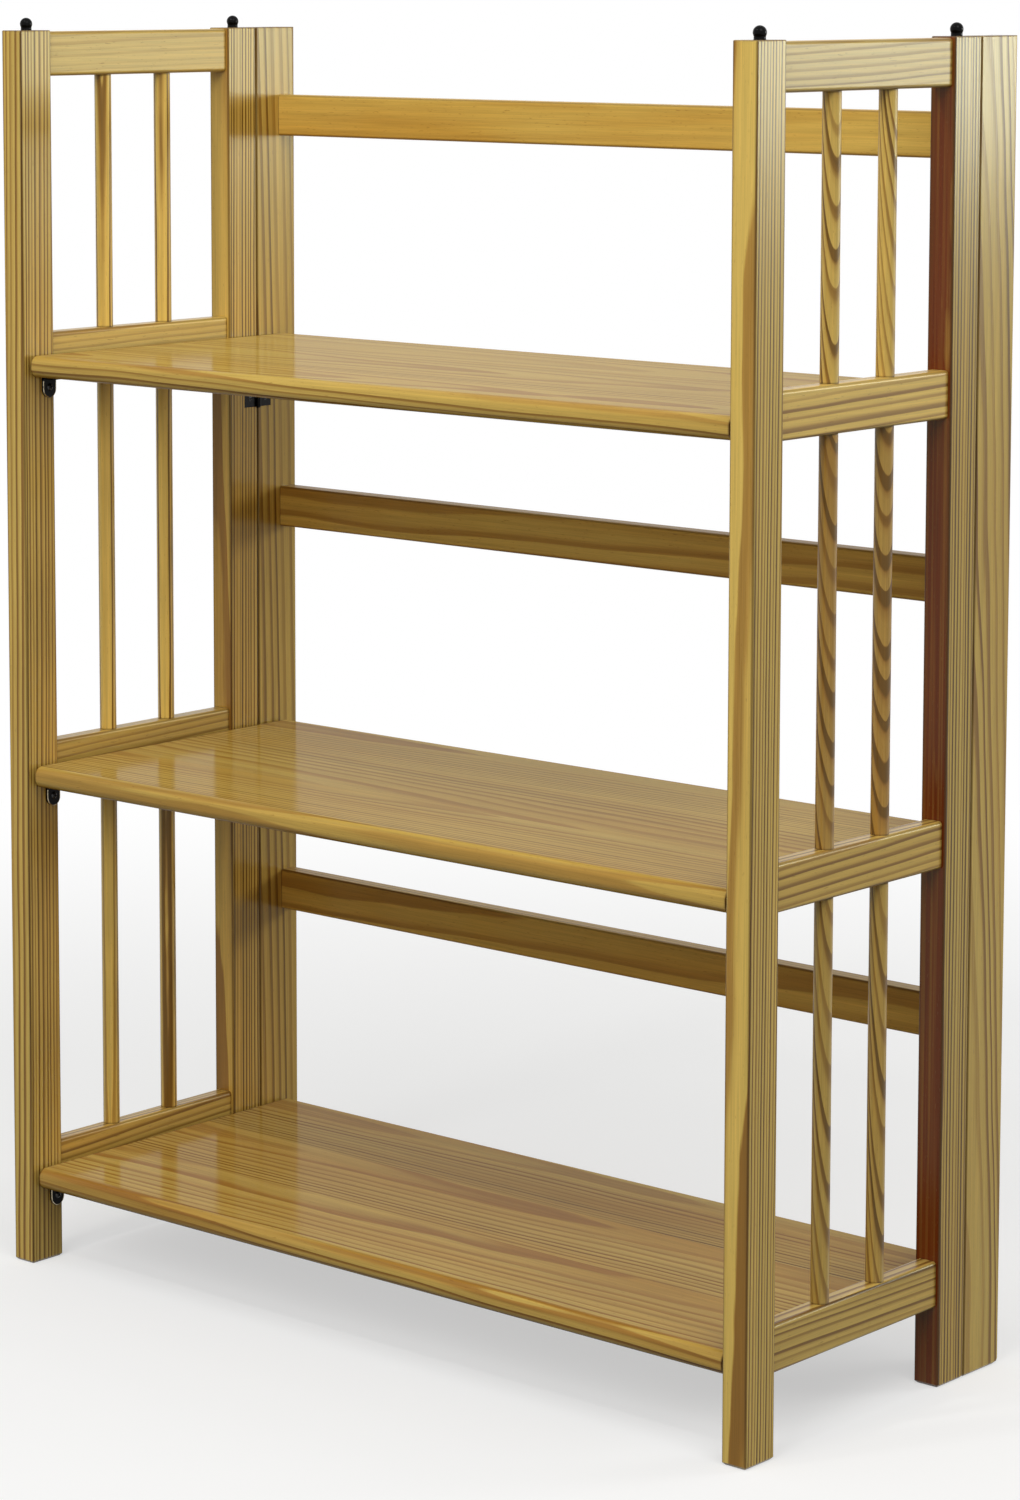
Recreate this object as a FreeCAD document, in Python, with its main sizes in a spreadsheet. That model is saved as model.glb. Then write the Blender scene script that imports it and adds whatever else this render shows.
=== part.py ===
import FreeCAD, Part
import math
import os
import re

import Sketcher

# Folding bookcase in solid pine.
#
# A back frame (two stiles and three back rails) carries everything. A side frame of two posts,
# four rails and turned spindles is hinged to each stile, and three shelves swing up on pins that
# stand in the stiles. Unfolded, each shelf lies on its pins at the back and on two steel rests
# at the front.
#
# +X is the bookcase's right as seen from the front, +Y its back, +Z up. The origin is on the
# floor, under the middle of the bookcase. Millimetres.

# ---------------------------------------------------------------- sizes

sizes = {
    # the whole bookcase
    "overall_width": 700.0,
    "overall_depth": 295.0,
    "post_height": 935.0,
    # posts of the side frames
    "post_thick": 20.0,
    "post_depth": 31.0,
    "post_ease": 1.2,
    "top_bevel": 0.8,
    "foot_bevel": 2.0,
    # stiles of the back frame
    "stile_depth": 44.0,
    "stile_round": 3.0,
    "stile_heel_bevel": 5.5,
    "seam_gap": 0.6,
    # side rails, centred in the thickness of the posts
    "rail_thick": 15.0,
    "rail_height": 33.0,
    "rail_ease": 2.5,
    "top_rail_drop": 1.0,
    # back rails
    "back_rail_thick": 16.0,
    "back_rail_height": 32.0,
    "back_rail_inset": 3.5,
    "back_rail_rise": 188.0,
    # stub tenons of all the rails
    "tenon_thick": 8.0,
    "tenon_height": 23.0,
    "tenon_length": 10.0,
    "glue_gap": 0.1,
    "mortise_spare": 0.5,
    # shelves
    "shelf_height": 74.0,
    "top_bay_height": 241.0,
    "shelf_thick": 16.0,
    "shelf_setback": 4.0,
    "shelf_rear_set": 17.0,
    "shelf_end_gap": 3.5,
    "shelf_nose": 6.5,
    "shelf_ease": 1.5,
    "shelf_drop": 16.0,
    # shelf pivots
    "pivot_radius": 2.0,
    "pivot_from_rear": 9.0,
    "pivot_below_top": 5.5,
    "pivot_in_stile": 12.0,
    "pivot_in_shelf": 18.0,
    "press_gap": 0.02,
    "run_gap": 0.05,
    # spindles
    "spindle_radius": 6.35,
    "spindle_end_radius": 4.5,
    "spindle_end_length": 10.0,
    # stacking pins and the sockets they enter
    "stack_radius": 4.6,
    "stack_shank_radius": 3.8,
    "stack_rise": 9.3,
    "stack_in_post": 20.0,
    "stack_fit": 0.2,
    "socket_depth": 11.0,
    # hinges between stile and side frame
    "hinge_height": 38.0,
    "hinge_drop": 18.5,
    "hinge_offset": 1.2,
    "hinge_pin_radius": 1.0,
    "hinge_pin_tip": 0.8,
    "knuckle_radius": 1.9,
    "knuckle_gap": 0.15,
    "leaf_width": 14.5,
    "leaf_thick": 1.0,
    "leaf_cutback": 2.3,
    "leaf_fit": 0.1,
    # shelf rests
    "rest_width": 12.8,
    "rest_thick": 2.0,
    "rest_height": 16.0,
    "rest_reach": 12.0,
    "rest_bend": 0.6,
    "rest_gap": 0.3,
    # how far a cutter stands out of the face that it enters
    "cut_past": 1.0,
}

# Places and lengths that follow from the sizes. X places are for the right side.
places = {
    "shelf_spacing": "(post_height - shelf_height - top_bay_height) / 2",
    "outer": "overall_width / 2",
    "inner": "outer - post_thick",
    "front": "-overall_depth / 2",
    "back": "overall_depth / 2",
    "stile_front": "back - stile_depth",
    "frame_rear": "stile_front - seam_gap",
    "rear_post_front": "frame_rear - post_depth",
    "front_post_rear": "front + post_depth",
    "post_pitch": "rear_post_front - front",
    "rail_run": "rear_post_front - front_post_rear",
    "rail_inset": "(post_thick - rail_thick) / 2",
    "rail_low": "shelf_height + shelf_drop - rail_height",
    "rail_high": "post_height - top_rail_drop - rail_height",
    "tenon_rise": "(rail_height - tenon_height) / 2",
    "mortise_depth": "tenon_length + mortise_spare",
    "back_rail_y": "back - back_rail_inset - back_rail_thick",
    "back_rail_low": "shelf_height + back_rail_rise - back_rail_height",
    "back_tenon_rise": "(back_rail_height - tenon_height) / 2",
    "shelf_front": "front + shelf_setback",
    "shelf_rear": "back - shelf_rear_set",
    "shelf_end": "inner - shelf_end_gap",
    "pivot_y": "shelf_rear - pivot_from_rear",
    "pivot_z": "shelf_height - pivot_below_top",
    "all_shelves": "2 * shelf_spacing",
    "spindle_pitch": "rail_run / 3",
    "spindle_bore": "spindle_end_length + mortise_spare",
    "low_bay": "shelf_spacing - rail_height",
    "top_bay": "rail_high - rail_low - all_shelves - rail_height",
    "hinge_x": "inner - hinge_offset",
    "hinge_y": "stile_front - seam_gap / 2",
    "hinge_low": "shelf_height - hinge_drop - hinge_height / 2",
    "hinge_high": "hinge_low + all_shelves",
    "knuckle_length": "(hinge_height - 2 * knuckle_gap) / 3",
    "leaf_far": "seam_gap / 2 + leaf_width",
    "rest_top": "shelf_height - shelf_thick - rest_gap",
    "rest_y": "front_post_rear - rest_width / 2",
}

doc = FreeCAD.newDocument("FoldingBookcase")
sheet = doc.addObject("Spreadsheet::Sheet", "Sizes")
for row, (alias, value) in enumerate(sizes.items(), start=1):
    sheet.set("A%d" % row, alias)
    sheet.set("B%d" % row, str(value))
    sheet.setAlias("B%d" % row, alias)
doc.recompute()


def formula(text):
    """Spell a formula out in cells of the sheet, following named places down to sizes."""
    def spell(word):
        name = word.group(0)
        if name in places:
            return "(" + formula(places[name]) + ")"
        return "Sizes." + name
    return re.sub(r"[a-z_]{2,}", spell, text)


# ---------------------------------------------------------------- tools of the bench

LEFT, RIGHT = "left", "right"
QUARTER = math.pi / 2
TURNS = {
    "": FreeCAD.Rotation(),
    "X": FreeCAD.Rotation(FreeCAD.Vector(1, 0, 0), 180),
    "Y": FreeCAD.Rotation(FreeCAD.Vector(0, 1, 0), 180),
    "Z": FreeCAD.Rotation(FreeCAD.Vector(0, 0, 1), 180),
}
LIE_ALONG = {
    "X": FreeCAD.Rotation(FreeCAD.Vector(0, 1, 0), 90),
    "Y": FreeCAD.Rotation(FreeCAD.Vector(1, 0, 0), -90),
    "Z": FreeCAD.Rotation(),
}
solid_counts = {}


def new_body(name, at, solids=1, turn=""):
    """Start a sub-part: its node name, its place, how many like solids it holds."""
    body = doc.addObject("PartDesign::Body", name)
    body.Label = name
    body.Placement = FreeCAD.Placement(FreeCAD.Vector(), TURNS[turn])
    bind_place(body, at)
    solid_counts[name] = solids
    return body


def bind_place(item, at):
    for axis, text in zip("xyz", at):
        item.setExpression("Placement.Base." + axis, formula(text))


def bind_sizes(item, **lengths):
    for name, text in lengths.items():
        item.setExpression(name, formula(text))


def datum(body, role):
    return next(item for item in body.Origin.OriginFeatures if item.Role == role)


def new_sketch(body, name, role):
    sketch = body.newObject("Sketcher::SketchObject", name)
    sketch.AttachmentSupport = [(datum(body, role), "")]
    sketch.MapMode = "FlatFace"
    return sketch


def measure(sketch, kind, where, text):
    """Add a dimension to a sketch and bind it to its formula."""
    value = sketch.evalExpression(formula(text))
    index = sketch.addConstraint(Sketcher.Constraint(kind, *where, float(value)))
    sketch.setExpression("Constraints[%d]" % index, formula(text))


def draw_rounded_bar(sketch, width, depth, radii):
    """A rectangle from the sketch's origin with four rounded corners, first the one at the
    far end of the bottom edge, then anticlockwise."""
    w, d = [float(sketch.evalExpression(formula(text))) for text in (width, depth)]
    r = [float(sketch.evalExpression(formula(text))) for text in radii]
    starts = [(r[3], 0), (w, r[0]), (w - r[1], d), (0, d - r[2])]
    ends = [(w - r[0], 0), (w, d - r[1]), (r[2], d), (0, r[3])]
    centres = [(w - r[0], r[0]), (w - r[1], d - r[1]), (r[2], d - r[2]), (r[3], r[3])]
    up = FreeCAD.Vector(0, 0, 1)
    sides = [sketch.addGeometry(Part.LineSegment(FreeCAD.Vector(*a), FreeCAD.Vector(*b)))
             for a, b in zip(starts, ends)]
    corners = []
    for quarter in range(4):
        circle = Part.Circle(FreeCAD.Vector(*centres[quarter]), up, r[quarter])
        begin = (quarter - 1) * QUARTER
        corners.append(sketch.addGeometry(Part.ArcOfCircle(circle, begin, begin + QUARTER)))
    for quarter in range(4):
        join = Sketcher.Constraint("Tangent", sides[quarter], 2, corners[quarter], 1)
        sketch.addConstraint(join)
        following = sides[(quarter + 1) % 4]
        sketch.addConstraint(Sketcher.Constraint("Tangent", corners[quarter], 2, following, 1))
        level = "Vertical" if quarter % 2 else "Horizontal"
        sketch.addConstraint(Sketcher.Constraint(level, sides[quarter]))
    sketch.addConstraint(Sketcher.Constraint("PointOnObject", sides[0], 1, -1))
    sketch.addConstraint(Sketcher.Constraint("PointOnObject", sides[3], 1, -2))
    measure(sketch, "DistanceX", (-1, 1, sides[1], 1), width)
    measure(sketch, "DistanceY", (-1, 1, sides[2], 1), depth)
    for corner, text in zip(corners, radii):
        measure(sketch, "Radius", (corner,), text)


def draw_outline(sketch, points):
    """A closed outline of straight lines through points given as pairs of formulas."""
    spots = [FreeCAD.Vector(*[float(sketch.evalExpression(formula(text))) for text in point])
             for point in points]
    count = len(points)
    lines = [sketch.addGeometry(Part.LineSegment(spots[i], spots[(i + 1) % count]))
             for i in range(count)]
    for i, (across, upward) in enumerate(points):
        before = lines[i - 1]
        sketch.addConstraint(Sketcher.Constraint("Coincident", before, 2, lines[i], 1))
        if across == "0":
            sketch.addConstraint(Sketcher.Constraint("PointOnObject", lines[i], 1, -2))
        else:
            measure(sketch, "DistanceX", (-1, 1, lines[i], 1), across)
        if upward == "0":
            sketch.addConstraint(Sketcher.Constraint("PointOnObject", lines[i], 1, -1))
        else:
            measure(sketch, "DistanceY", (-1, 1, lines[i], 1), upward)


def pad(body, sketch, length, both_ways=False, backwards=False):
    made = body.newObject("PartDesign::Pad", sketch.Name + "_pad")
    made.Profile = sketch
    made.SideType = "Symmetric" if both_ways else "One side"
    made.Reversed = backwards
    bind_sizes(made, Length=length)
    doc.recompute()
    return made


def pocket(body, sketch, length):
    """Cut a sketch's outline out of the body, half the length to each side of the sketch."""
    made = body.newObject("PartDesign::Pocket", sketch.Name + "_cut")
    made.Profile = sketch
    made.SideType = "Symmetric"
    bind_sizes(made, Length=length)
    doc.recompute()
    return made


def turn(body, sketch, role):
    """Turn a half outline round an axis of the body."""
    made = body.newObject("PartDesign::Revolution", sketch.Name + "_turned")
    made.Profile = sketch
    made.ReferenceAxis = (datum(body, role), [""])
    made.Angle = 360
    doc.recompute()
    return made


def block(body, kind, name, corner, size):
    """Add or cut a block; kind is Additive or Subtractive."""
    made = body.newObject("PartDesign::%sBox" % kind, name)
    bind_place(made, corner)
    bind_sizes(made, Length=size[0], Width=size[1], Height=size[2])
    doc.recompute()
    return made


def bore(body, name, mouth, along, radius, length):
    """Cut a round hole that starts at a point and runs along +X, +Y or +Z."""
    made = body.newObject("PartDesign::SubtractiveCylinder", name)
    made.Placement = FreeCAD.Placement(FreeCAD.Vector(), LIE_ALONG[along])
    bind_place(made, mouth)
    bind_sizes(made, Radius=radius, Height=length)
    doc.recompute()
    return made


def repeat(body, feature, role, length, count):
    """Repeat a feature, or the whole body so far, along an axis of the body."""
    made = body.newObject("PartDesign::LinearPattern", feature.Name + "_row")
    if feature.isDerivedFrom("PartDesign::DressUp"):
        made.TransformMode = "Whole shape"
    else:
        made.Originals = [feature]
    made.Direction = (datum(body, role), [""])
    made.Occurrences = count
    bind_sizes(made, Length=length)
    body.Tip = made
    doc.recompute()


def round_edges(body, name, base, radius, wanted):
    """Round the edges of the base feature that the test picks."""
    edges = ["Edge%d" % (i + 1) for i, edge in enumerate(base.Shape.Edges) if wanted(edge)]
    made = body.newObject("PartDesign::Fillet", name)
    made.Base = (base, edges)
    bind_sizes(made, Radius=radius)
    doc.recompute()
    return made


def number(text):
    return float(sheet.evalExpression(formula(text)))


def near(value, text):
    return abs(value - number(text)) < 1e-6


def side_low_x(side, inset, thick):
    """The lower X of a piece that stands a distance in from the bookcase's outer face."""
    return "-outer + " + inset if side == LEFT else "outer - %s - %s" % (inset, thick)


# ---------------------------------------------------------------- posts and stiles

def post_blank(name, side, y, depth, radii, heel="foot_bevel"):
    """An upright with eased corners and bevels round its foot and its top. The heel is the
    bevel at the foot of the rear face."""
    body = new_body(name, (side_low_x(side, "0", "post_thick"), y, "0"))
    section = new_sketch(body, name + "_section", "XY_Plane")
    draw_rounded_bar(section, "post_thick", depth, radii)
    pad(body, section, "post_height")
    for role, across, through, far_bevel in (("XZ_Plane", "post_thick", depth, "foot_bevel"),
                                             ("YZ_Plane", depth, "post_thick", heel)):
        ends = new_sketch(body, "%s_ends_%s" % (name, role[:2]), role)
        for at_x, out_x, bevel in (("0", -1, "foot_bevel"), (across, 1, far_bevel)):
            draw_corner(ends, at_x, out_x, "0", -1, bevel)
            draw_corner(ends, at_x, out_x, "post_height", 1, "top_bevel")
        pocket(body, ends, "2 * (%s + cut_past)" % through)
    return body


def draw_corner(sketch, at_x, out_x, at_z, out_z, bevel):
    """A triangle over an outline's corner, which cuts the corner off at 45 degrees."""
    spots = ((-1, 1), (1, 1), (1, -1))
    points = []
    for toward_x, toward_z in spots:
        reach_x = "cut_past" if toward_x > 0 else "-(%s + cut_past)" % bevel
        reach_z = "cut_past" if toward_z > 0 else "-(%s + cut_past)" % bevel
        points.append(("%s + %d * (%s)" % (at_x, out_x, reach_x),
                       "%s + %d * (%s)" % (at_z, out_z, reach_z)))
    draw_outline(sketch, points)


def side_post(name, side, y, rail_face):
    """A post of a side frame, with mortises in the face that the rails meet."""
    body = post_blank(name, side, y, "post_depth", ["post_ease"] * 4)
    mortise_y = "post_depth - mortise_depth" if rail_face == "rear" else "-cut_past"
    slot = ("tenon_thick + 2 * glue_gap", "mortise_depth + cut_past", "tenon_height + 2 * glue_gap")
    slot_x = "(post_thick - tenon_thick) / 2 - glue_gap"
    low = block(body, "Subtractive", name + "_mortise",
                (slot_x, mortise_y, "rail_low + tenon_rise - glue_gap"), slot)
    repeat(body, low, "Z_Axis", "all_shelves", 3)
    block(body, "Subtractive", name + "_top_mortise",
          (slot_x, mortise_y, "rail_high + tenon_rise - glue_gap"), slot)
    middle = ("post_thick / 2", "post_depth / 2")
    bore(body, name + "_pin_hole", middle + ("post_height - stack_in_post",), "Z",
         "stack_shank_radius + press_gap", "stack_in_post + cut_past")
    bore(body, name + "_socket", middle + ("-cut_past",), "Z",
         "stack_radius + stack_fit", "socket_depth + cut_past")
    return body


def inner_face(side, deep):
    """Lower X, in a post's own frame, of a pocket cut into its inner face."""
    return "post_thick - " + deep if side == LEFT else "-cut_past"


def hinge_seat(body, side, y):
    """Cut the shallow seat that lets a hinge leaf in flush."""
    return block(body, "Subtractive", body.Name + "_hinge_seat",
                 (inner_face(side, "leaf_thick"), y, "hinge_low - hinge_height / 2 - leaf_fit"),
                 ("leaf_thick + cut_past", "leaf_width + leaf_fit + cut_past",
                  "hinge_height + 2 * leaf_fit"))


def front_post(side):
    side_post(side + "_front_post", side, "front", "rear")


def rear_post(side):
    name = side + "_rear_post"
    body = side_post(name, side, "rear_post_front", "front")
    seat = hinge_seat(body, side, "post_depth - leaf_width - leaf_fit")
    repeat(body, seat, "Z_Axis", "all_shelves", 3)


def back_stile(side):
    name = side + "_back_stile"
    radii = ["post_ease", "stile_round", "stile_round", "post_ease"]
    body = post_blank(name, side, "stile_front", "stile_depth", radii, "stile_heel_bevel")
    slot = block(body, "Subtractive", name + "_mortise",
                 (inner_face(side, "mortise_depth"),
                  "back_rail_y - stile_front + (back_rail_thick - tenon_thick) / 2 - glue_gap",
                  "back_rail_low + back_tenon_rise - glue_gap"),
                 ("mortise_depth + cut_past", "tenon_thick + 2 * glue_gap",
                  "tenon_height + 2 * glue_gap"))
    repeat(body, slot, "Z_Axis", "all_shelves", 3)
    pin_hole = bore(body, name + "_pivot_hole",
                    (inner_face(side, "pivot_in_stile"), "pivot_y - stile_front", "pivot_z"),
                    "X", "pivot_radius + press_gap", "pivot_in_stile + cut_past")
    repeat(body, pin_hole, "Z_Axis", "all_shelves", 3)
    seat = hinge_seat(body, side, "-cut_past")
    repeat(body, seat, "Z_Axis", "all_shelves", 3)


# ---------------------------------------------------------------- rails

def side_rail(side, level, z, spindles_above, spindles_below):
    name = "%s_%s_rail" % (side, level)
    body = new_body(name, (side_low_x(side, "rail_inset", "rail_thick"), "front_post_rear", z))
    section = new_sketch(body, name + "_section", "XZ_Plane")
    draw_rounded_bar(section, "rail_thick", "rail_height", ["rail_ease"] * 4)
    pad(body, section, "rail_run", backwards=True)
    block(body, "Additive", name + "_tenons",
          ("(rail_thick - tenon_thick) / 2", "-tenon_length", "tenon_rise"),
          ("tenon_thick", "rail_run + 2 * tenon_length", "tenon_height"))
    for wanted, label, z_start in ((spindles_above, "upper", "rail_height - spindle_bore"),
                                   (spindles_below, "lower", "-cut_past")):
        if wanted:
            hole = bore(body, "%s_%s_hole" % (name, label),
                        ("rail_thick / 2", "spindle_pitch", z_start), "Z",
                        "spindle_end_radius + glue_gap", "spindle_bore + cut_past")
            repeat(body, hole, "Y_Axis", "spindle_pitch", 2)


def back_rail(level, step):
    name = level + "_back_rail"
    body = new_body(name, ("0", "back_rail_y", "back_rail_low + %d * shelf_spacing" % step))
    section = new_sketch(body, name + "_section", "YZ_Plane")
    draw_rounded_bar(section, "back_rail_thick", "back_rail_height", ["rail_ease"] * 4)
    pad(body, section, "2 * inner", both_ways=True)
    block(body, "Additive", name + "_tenons",
          ("-inner - tenon_length", "(back_rail_thick - tenon_thick) / 2", "back_tenon_rise"),
          ("2 * inner + 2 * tenon_length", "tenon_thick", "tenon_height"))


# ---------------------------------------------------------------- turned pieces

def spindles(side, bay, z, clear_height):
    """The two spindles of one bay: a turned rod with a thinner round end in each rail."""
    name = "%s_%s_spindles" % (side, bay)
    x = "-outer + post_thick / 2" if side == LEFT else "outer - post_thick / 2"
    body = new_body(name, (x, "front_post_rear + spindle_pitch", z + " - spindle_end_length"), 2)
    half = new_sketch(body, name + "_half", "XZ_Plane")
    top = clear_height + " + 2 * spindle_end_length"
    shoulder = clear_height + " + spindle_end_length"
    draw_outline(half, [("0", "0"), ("spindle_end_radius", "0"),
                        ("spindle_end_radius", "spindle_end_length"),
                        ("spindle_radius", "spindle_end_length"), ("spindle_radius", shoulder),
                        ("spindle_end_radius", shoulder), ("spindle_end_radius", top),
                        ("0", top)])
    rod = turn(body, half, "Z_Axis")
    repeat(body, rod, "Y_Axis", "spindle_pitch", 2)


def stacking_pins(side):
    """A round-headed pin in the top of each post: a thinner shank is driven into the post, the
    head stands on it and enters a socket of the unit above."""
    name = side + "_stacking_pins"
    x = "-outer + post_thick / 2" if side == LEFT else "outer - post_thick / 2"
    body = new_body(name, (x, "front + post_depth / 2", "post_height - stack_in_post"), 2)
    half = new_sketch(body, name + "_half", "XZ_Plane")
    radius, shank, shoulder = [number(text) for text in ("stack_radius", "stack_shank_radius",
                                                         "stack_in_post")]
    top = shoulder + number("stack_rise")
    spots = [(0, 0), (shank, 0), (shank, shoulder), (radius, shoulder), (radius, top - radius)]
    base, shank_side, ledge, head_side = [
        half.addGeometry(Part.LineSegment(FreeCAD.Vector(*a), FreeCAD.Vector(*b)))
        for a, b in zip(spots, spots[1:])]
    nose = half.addGeometry(Part.ArcOfCircle(
        Part.Circle(FreeCAD.Vector(0, top - radius), FreeCAD.Vector(0, 0, 1), radius),
        0, QUARTER))
    axis_line = half.addGeometry(Part.LineSegment(FreeCAD.Vector(0, top), FreeCAD.Vector()))
    for constraint in (("Coincident", base, 2, shank_side, 1),
                       ("Coincident", shank_side, 2, ledge, 1),
                       ("Coincident", ledge, 2, head_side, 1), ("Tangent", head_side, 2, nose, 1),
                       ("Coincident", nose, 2, axis_line, 1), ("Coincident", axis_line, 2, base, 1),
                       ("Coincident", base, 1, -1, 1), ("Horizontal", base),
                       ("Vertical", shank_side), ("Horizontal", ledge), ("Vertical", head_side),
                       ("PointOnObject", axis_line, 1, -2), ("PointOnObject", nose, 3, -2)):
        half.addConstraint(Sketcher.Constraint(*constraint))
    measure(half, "DistanceX", (base, 1, base, 2), "stack_shank_radius")
    measure(half, "DistanceX", (-1, 1, ledge, 2), "stack_radius")
    measure(half, "DistanceY", (-1, 1, ledge, 1), "stack_in_post")
    measure(half, "DistanceY", (-1, 1, axis_line, 1), "stack_in_post + stack_rise")
    pin = turn(body, half, "Z_Axis")
    repeat(body, pin, "Y_Axis", "post_pitch", 2)


def level_pins(name, at, radius, length, role):
    """Three equal round pins, one per shelf level, standing on the given origin plane."""
    body = new_body(name, at, 3)
    section = new_sketch(body, name + "_section", role)
    circle = section.addGeometry(Part.Circle(FreeCAD.Vector(), FreeCAD.Vector(0, 0, 1),
                                             number(radius)))
    section.addConstraint(Sketcher.Constraint("Coincident", circle, 3, -1, 1))
    measure(section, "Radius", (circle,), radius)
    pin = pad(body, section, length)
    repeat(body, pin, "Z_Axis", "all_shelves", 3)


def pivot_pins(side):
    """Steel pins that are driven into the stile and turn in the shelf ends."""
    x = "-inner - pivot_in_stile" if side == LEFT else "shelf_end - pivot_in_shelf"
    level_pins(side + "_shelf_pivot_pins", (x, "pivot_y", "pivot_z"), "pivot_radius",
               "pivot_in_stile + shelf_end_gap + pivot_in_shelf", "YZ_Plane")


def hinge_pins(side):
    x = "hinge_x" if side == RIGHT else "-hinge_x"
    level_pins(side + "_hinge_pins",
               (x, "hinge_y", "hinge_low - hinge_height / 2 - hinge_pin_tip"),
               "hinge_pin_radius", "hinge_height + 2 * hinge_pin_tip", "XY_Plane")


# ---------------------------------------------------------------- shelves

def shelf(level, step):
    """A shelf with a full round nose, drilled at both ends for its pivot pins."""
    name = level + "_shelf"
    body = new_body(name, ("0", "shelf_front",
                           "shelf_height + %d * shelf_spacing - shelf_thick" % step))
    section = new_sketch(body, name + "_section", "YZ_Plane")
    draw_rounded_bar(section, "shelf_rear - shelf_front", "shelf_thick",
                     ["shelf_ease", "shelf_ease", "shelf_nose", "shelf_nose"])
    pad(body, section, "2 * shelf_end", both_ways=True)
    for end, x in (("left", "-shelf_end - cut_past"), ("right", "shelf_end - pivot_in_shelf")):
        bore(body, "%s_%s_hole" % (name, end),
             (x, "pivot_y - shelf_front", "shelf_thick - pivot_below_top"), "X",
             "pivot_radius + run_gap", "pivot_in_shelf + cut_past")


# ---------------------------------------------------------------- hinges

def hinge_leaves(side, carrier):
    """The leaves on one upright, one leaf per shelf level. The leaf is rolled round the pin: the
    side frame's leaf has the two end knuckles, the stile's leaf the middle one. Drawn for the
    right stile, round the pin's axis, and turned over for the other places."""
    name = "%s_%s_hinge_leaves" % (side, carrier)
    turn_over = {(RIGHT, "stile"): "", (RIGHT, "post"): "X",
                 (LEFT, "stile"): "Y", (LEFT, "post"): "Z"}[side, carrier]
    x = "hinge_x" if side == RIGHT else "-hinge_x"
    z = "hinge_high" if turn_over in ("X", "Y") else "hinge_low"
    body = new_body(name, (x, "hinge_y", z), 3, turn_over)
    outline = new_sketch(body, name + "_outline", "XY_Plane")
    draw_leaf(outline)
    leaf = pad(body, outline, "hinge_height", both_ways=True)
    repeat(body, leaf, "Z_Axis", "all_shelves", 3)
    if carrier == "post":
        cuts = [("middle", "-knuckle_length / 2 - knuckle_gap", "knuckle_length + 2 * knuckle_gap")]
    else:
        cuts = [("lower", "-hinge_height / 2 - cut_past", "knuckle_length + knuckle_gap + cut_past"),
                ("upper", "knuckle_length / 2", "knuckle_length + knuckle_gap + cut_past")]
    room = "2 * (knuckle_radius + cut_past)"
    for label, low, height in cuts:
        cut = block(body, "Subtractive", "%s_%s_cut" % (name, label),
                    ("-knuckle_radius - cut_past", "leaf_cutback - " + room, low),
                    (room, room, height))
        repeat(body, cut, "Z_Axis", "all_shelves", 3)


def draw_leaf(sketch):
    """Section of a leaf: the flat plate, let in flush, and the eye round the pin."""
    offset, thick, far = number("hinge_offset"), number("leaf_thick"), number("leaf_far")
    radius, cutback = number("knuckle_radius"), number("leaf_cutback")
    meets = (radius ** 2 - offset ** 2) ** 0.5
    eye = Part.Circle(FreeCAD.Vector(), FreeCAD.Vector(0, 0, 1), radius)
    spots = [(offset, meets), (offset, far), (offset + thick, far), (offset + thick, cutback),
             (radius, 0)]
    face, end, back_face, neck = [
        sketch.addGeometry(Part.LineSegment(FreeCAD.Vector(*a), FreeCAD.Vector(*b)))
        for a, b in zip(spots, spots[1:])]
    begin = eye.parameter(FreeCAD.Vector(offset, meets))
    rolled = sketch.addGeometry(Part.ArcOfCircle(eye, begin, 4 * QUARTER))
    hole = sketch.addGeometry(Part.Circle(FreeCAD.Vector(), FreeCAD.Vector(0, 0, 1),
                                          number("hinge_pin_radius + run_gap")))
    for constraint in (("Coincident", face, 2, end, 1), ("Coincident", end, 2, back_face, 1),
                       ("Coincident", back_face, 2, neck, 1), ("Coincident", neck, 2, rolled, 2),
                       ("Coincident", rolled, 1, face, 1), ("Coincident", rolled, 3, -1, 1),
                       ("Coincident", hole, 3, -1, 1), ("PointOnObject", neck, 2, -1),
                       ("Vertical", face), ("Vertical", back_face), ("Horizontal", end)):
        sketch.addConstraint(Sketcher.Constraint(*constraint))
    measure(sketch, "Radius", (rolled,), "knuckle_radius")
    measure(sketch, "Radius", (hole,), "hinge_pin_radius + run_gap")
    measure(sketch, "DistanceX", (-1, 1, face, 2), "hinge_offset")
    measure(sketch, "DistanceX", (end, 1, end, 2), "leaf_thick")
    measure(sketch, "DistanceY", (-1, 1, end, 1), "leaf_far")
    measure(sketch, "DistanceY", (-1, 1, neck, 1), "leaf_cutback")


# ---------------------------------------------------------------- shelf rests

def shelf_rests(side):
    """Bent steel angles: the plate is screwed to the post, the tab lies under the shelf."""
    name = side + "_shelf_rests"
    x, turn_over = ("-inner", "") if side == LEFT else ("inner", "Z")
    body = new_body(name, (x, "rest_y", "rest_top - rest_height"), 3, turn_over)
    outline = new_sketch(body, name + "_outline", "XZ_Plane")
    draw_outline(outline, [("0", "0"), ("rest_thick", "0"),
                           ("rest_thick", "rest_height - rest_thick"),
                           ("rest_reach", "rest_height - rest_thick"),
                           ("rest_reach", "rest_height"), ("0", "rest_height")])
    angle = pad(body, outline, "rest_width", both_ways=True)
    bent = round_edges(body, name + "_bend", angle, "rest_thick + rest_bend",
                       lambda edge: near(edge.BoundBox.XMax, "0")
                       and near(edge.BoundBox.ZMin, "rest_height"))
    foot = round_edges(body, name + "_foot", bent, "rest_width / 2 - glue_gap",
                       lambda edge: near(edge.BoundBox.ZMax, "0")
                       and near(edge.BoundBox.YLength, "0"))
    repeat(body, foot, "Z_Axis", "all_shelves", 3)


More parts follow.
